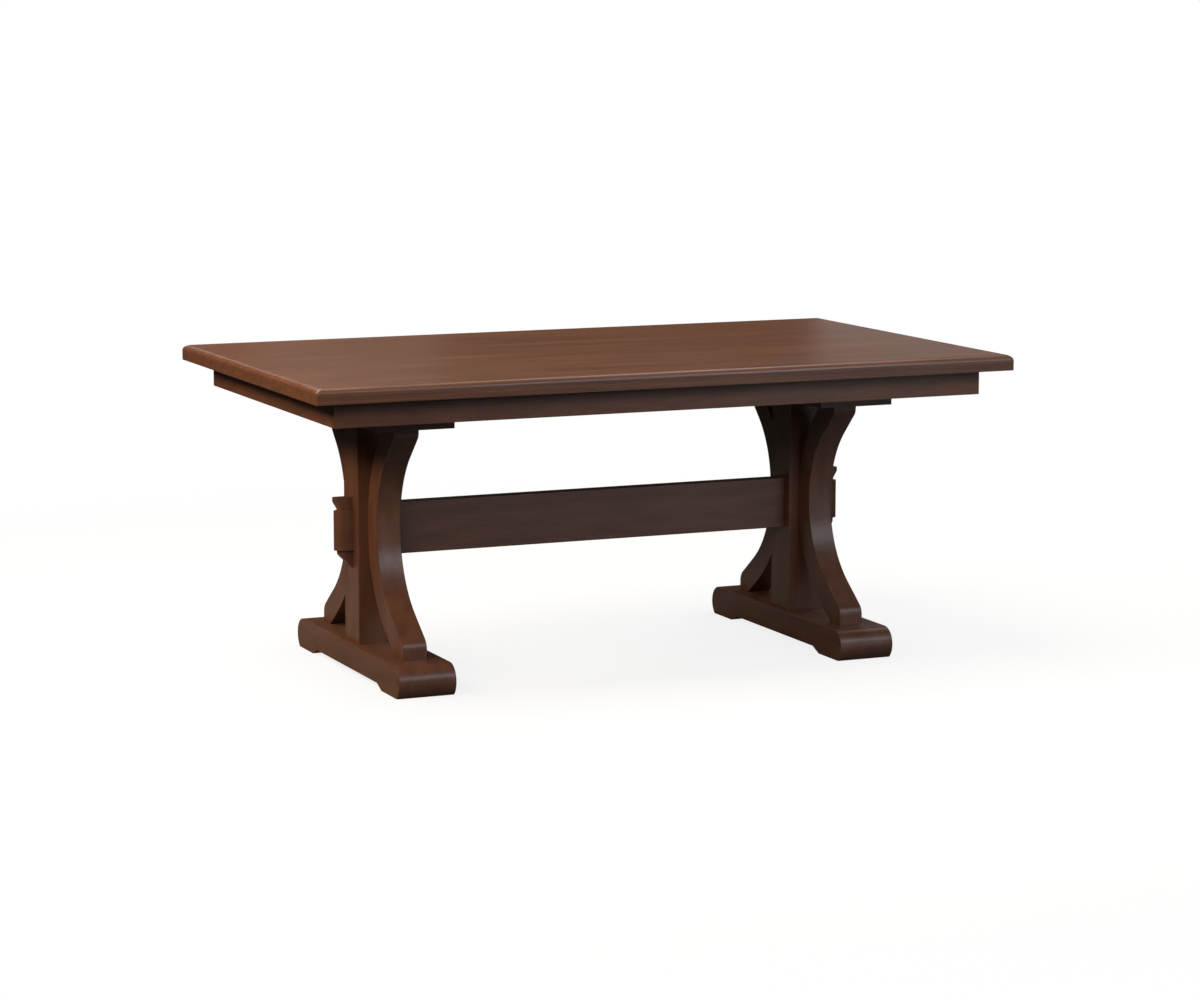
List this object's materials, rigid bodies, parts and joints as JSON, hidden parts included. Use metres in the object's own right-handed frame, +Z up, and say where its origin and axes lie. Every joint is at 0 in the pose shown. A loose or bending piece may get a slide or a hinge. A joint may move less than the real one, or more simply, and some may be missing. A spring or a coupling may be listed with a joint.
{
  "type": "trestle dining table",
  "caption": "Rectangular wooden dining table on braced trestle legs with rounded feet, joined by a long stretcher whose through tenons are locked by upright keys.",
  "frame": {"origin": "on the floor under the middle of the table", "axes": "+X along the table's length, +Y along its width towards the back, +Z up"},
  "size_m": [1.8288, 1.0668, 0.7747],
  "materials": {
    "wood": "satin lacquer over dark stain",
    "steel": "zinc plated"
  },
  "bodies": {
    "root": {"top_board_1": "wood", "top_board_2": "wood", "top_board_3": "wood", "top_board_4": "wood", "top_board_5": "wood", "top_board_6": "wood", "top_board_7": "wood", "top_board_8": "wood", "apron_front": "wood", "apron_back": "wood", "apron_left": "wood", "apron_right": "wood", "corner_block_left_front": "wood", "brace_left_front": "wood", "corner_block_left_back": "wood", "brace_left_back": "wood", "cleat_left_inner": "wood", "cleat_left_outer": "wood", "plate_left": "wood", "post_left": "wood", "foot_left": "wood", "key_left": "wood", "corner_block_right_front": "wood", "brace_right_front": "wood", "corner_block_right_back": "wood", "brace_right_back": "wood", "cleat_right_inner": "wood", "cleat_right_outer": "wood", "plate_right": "wood", "post_right": "wood", "foot_right": "wood", "key_right": "wood", "stretcher": "wood", "brace_dowels": "wood", "foot_lag_screws": "steel", "foot_lag_washers": "steel", "plate_lag_screws": "steel", "plate_lag_washers": "steel", "brace_foot_screws": "steel", "brace_plate_screws": "steel", "plate_screws": "steel", "cleat_screws": "steel", "apron_screws": "steel", "corner_block_screws": "steel"}
  },
  "joints": []
}
